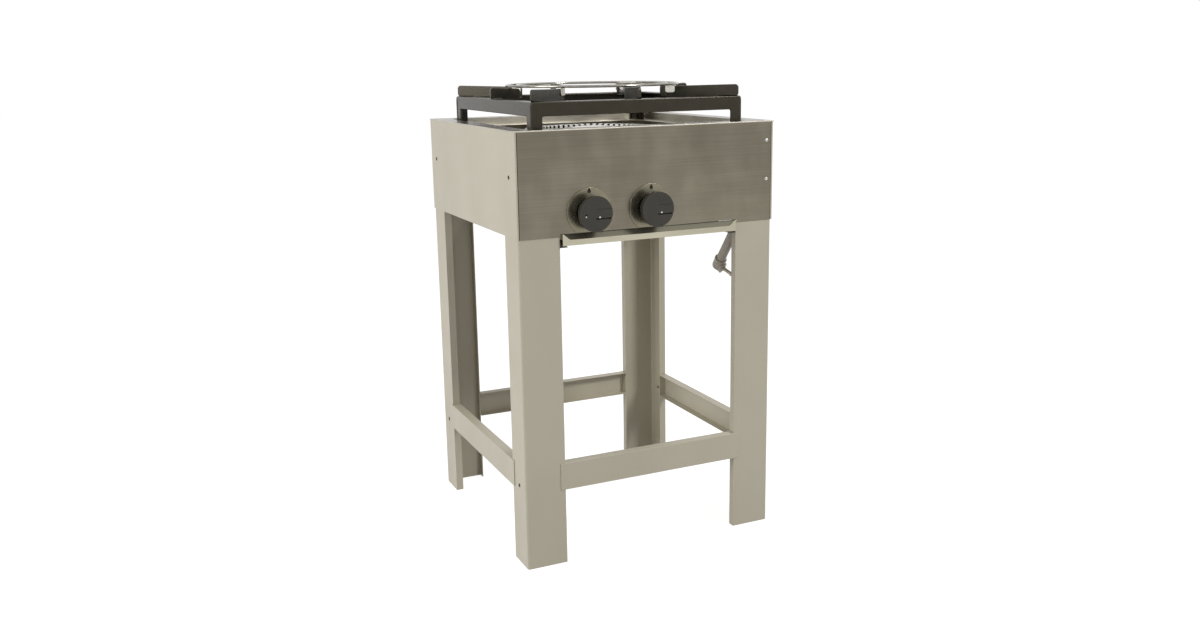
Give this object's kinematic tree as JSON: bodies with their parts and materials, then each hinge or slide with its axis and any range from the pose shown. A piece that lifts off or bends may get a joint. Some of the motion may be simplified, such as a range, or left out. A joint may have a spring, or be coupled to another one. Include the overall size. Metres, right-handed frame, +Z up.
{
  "type": "single burner hotplate",
  "caption": "Floor-standing gas hotplate on folded legs, with a ring burner, lift-off grate and pot ring, push-and-turn taps, a gas manifold with hose inlet and a pull-out drip tray.",
  "frame": {"origin": "on the floor under the middle of the cabinet", "axes": "+X to the right seen from the front, -Y to the front with the knobs, +Z up"},
  "size_m": [0.5, 0.5151, 0.8428],
  "materials": {
    "brushed_stainless": "brushed",
    "polished_stainless": "satin",
    "enamel_greige": "satin",
    "bare_steel": "plain",
    "rivet_steel": "bright",
    "black_iron": "semi-matt",
    "nickel_wire": "bright",
    "cast_iron": "matt",
    "cast_aluminium": "satin",
    "tube_steel": "plain",
    "brass": "turned",
    "knob_plastic": "fine matt",
    "bezel_metal": "satin",
    "pipe_paint": "satin",
    "nozzle_black": "matt"
  },
  "bodies": {
    "cabinet": {"top_plate": "polished_stainless", "front_panel": "brushed_stainless", "rear_panel": "enamel_greige", "left_panel": "enamel_greige", "right_panel": "enamel_greige", "leg_front_left": "enamel_greige", "leg_front_right": "enamel_greige", "leg_rear_left": "enamel_greige", "leg_rear_right": "enamel_greige", "rail_front": "enamel_greige", "rail_rear": "enamel_greige", "rail_left": "enamel_greige", "rail_right": "enamel_greige", "rivets": "rivet_steel", "outer_burner_body": "cast_iron", "inner_burner_body": "cast_iron", "outer_mixing_tube": "tube_steel", "inner_mixing_tube": "tube_steel", "burner_bar_front": "bare_steel", "burner_bar_rear": "bare_steel", "tap_body_1": "brass", "tap_body_2": "brass", "tap_bonnets": "brass", "bezel_1": "bezel_metal", "bezel_2": "bezel_metal", "injectors": "brass", "gas_manifold": "pipe_paint", "manifold_cap": "pipe_paint", "manifold_brackets": "bare_steel", "inlet_elbow": "pipe_paint", "inlet_pipe": "pipe_paint", "hose_elbow": "pipe_paint", "hose_nozzle": "nozzle_black", "tray_runner_left": "black_iron", "tray_runner_right": "black_iron", "runner_screws": "rivet_steel"},
    "grate": {"grate_bar_front": "black_iron", "grate_bar_rear": "black_iron", "grate_bar_left": "black_iron", "grate_bar_right": "black_iron", "grate_feet": "black_iron", "pot_support_1": "black_iron", "pot_support_2": "black_iron", "pot_support_3": "black_iron", "pot_support_4": "black_iron", "pot_support_5": "black_iron", "pot_support_6": "black_iron", "pot_support_7": "black_iron", "pot_support_8": "black_iron"},
    "pot_ring": {"pot_ring_wires": "nickel_wire", "ring_clips": "nickel_wire"},
    "outer_cap": {"outer_burner_cap": "cast_aluminium"},
    "inner_cap": {"inner_burner_cap": "cast_aluminium"},
    "plug_1": {"tap_plug_1": "brass"},
    "plug_2": {"tap_plug_2": "brass"},
    "handle_1": {"spindle_1": "bare_steel", "knob_1": "knob_plastic"},
    "handle_2": {"spindle_2": "bare_steel", "knob_2": "knob_plastic"},
    "tray": {"drip_tray": "polished_stainless"}
  },
  "joints": [
    {"name": "grate_lift", "type": "slide", "parent": "cabinet", "child": "grate", "axis": [0, 0, 1], "range_m": [0, 0.12]},
    {"name": "pot_ring_lift", "type": "slide", "parent": "grate", "child": "pot_ring", "axis": [0, 0, 1], "range_m": [0, 0.06]},
    {"name": "outer_cap_lift", "type": "slide", "parent": "cabinet", "child": "outer_cap", "axis": [0, 0, 1], "range_m": [0, 0.12]},
    {"name": "inner_cap_lift", "type": "slide", "parent": "cabinet", "child": "inner_cap", "axis": [0, 0, 1], "range_m": [0, 0.12]},
    {"name": "tap_1_turn", "type": "hinge", "parent": "cabinet", "child": "plug_1", "pos_m": [-0.117, -0.2256, 0.6285], "axis": [0, -1, 0], "range_deg": [0, 180]},
    {"name": "knob_1_push", "type": "slide", "parent": "plug_1", "child": "handle_1", "axis": [0, 1, 0], "range_m": [0, 0.003], "stiffness_N_per_m": 1500, "springref_m": -0.002},
    {"name": "tap_2_turn", "type": "hinge", "parent": "cabinet", "child": "plug_2", "pos_m": [0, -0.2256, 0.6285], "axis": [0, -1, 0], "range_deg": [0, 180]},
    {"name": "knob_2_push", "type": "slide", "parent": "plug_2", "child": "handle_2", "axis": [0, 1, 0], "range_m": [0, 0.003], "stiffness_N_per_m": 1500, "springref_m": -0.002},
    {"name": "tray_pull", "type": "slide", "parent": "cabinet", "child": "tray", "axis": [0, -1, 0], "range_m": [0, 0.36]}
  ]
}
